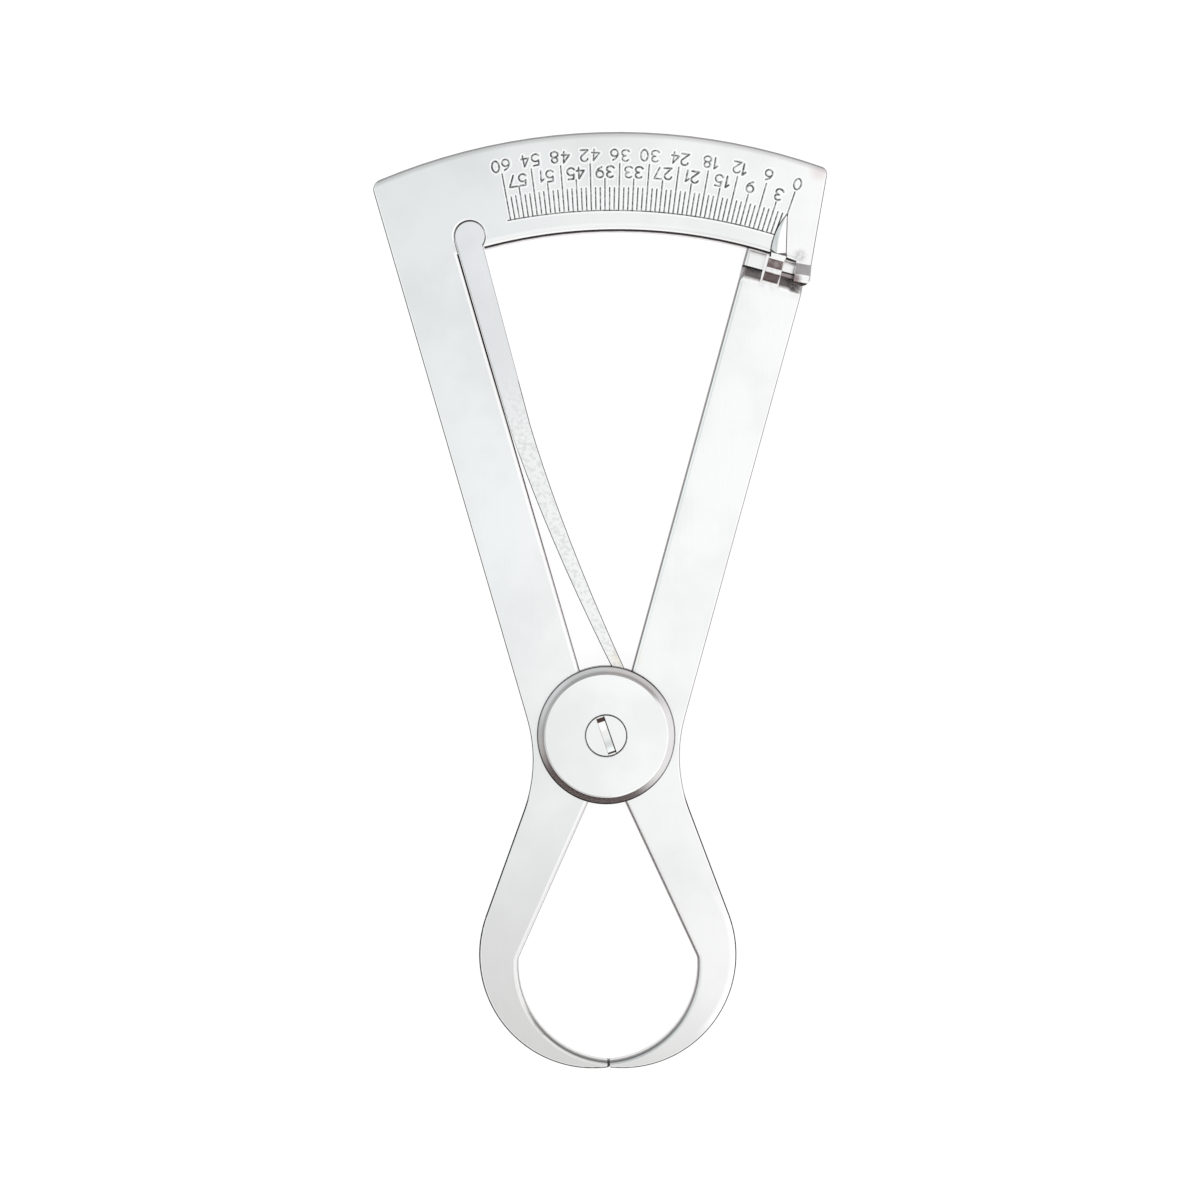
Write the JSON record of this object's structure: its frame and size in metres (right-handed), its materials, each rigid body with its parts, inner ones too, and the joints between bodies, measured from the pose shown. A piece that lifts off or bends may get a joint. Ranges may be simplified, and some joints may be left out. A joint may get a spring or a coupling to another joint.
{
  "type": "diamond gauge",
  "caption": "Spring-closed caliper for cut stones: two crossed flat legs with curved jaws, a sector scale and a pointer on one screw pivot.",
  "frame": {"origin": "on the pivot axis, at the back disc's back face, which the gauge lies on", "axes": "+Y from the jaws' tips through the pivot towards the scale, +X to the right as the front is looked at, +Z out of the front"},
  "size_m": [0.0774, 0.1596, 0.0061],
  "materials": {
    "nickel_plate": "satin nickel",
    "spring_steel": "satin",
    "nickel_disc": "satin nickel",
    "screw_steel": "satin nickel"
  },
  "bodies": {
    "scale_side": {"scale_leg": "nickel_plate", "leaf_spring": "spring_steel", "cap_disc": "nickel_disc", "back_disc": "nickel_disc", "pivot_screw": "screw_steel"},
    "pointer_side": {"pointer_leg": "nickel_plate"}
  },
  "joints": [
    {"name": "jaw_pivot", "type": "hinge", "parent": "scale_side", "child": "pointer_side", "pos_m": [0, 0, 0.003], "axis": [0, 0, 1], "range_deg": [0, 29.7], "stiffness_Nm_per_rad": 0.2, "springref_deg": -22.92, "deforming": ["leaf_spring"]}
  ]
}
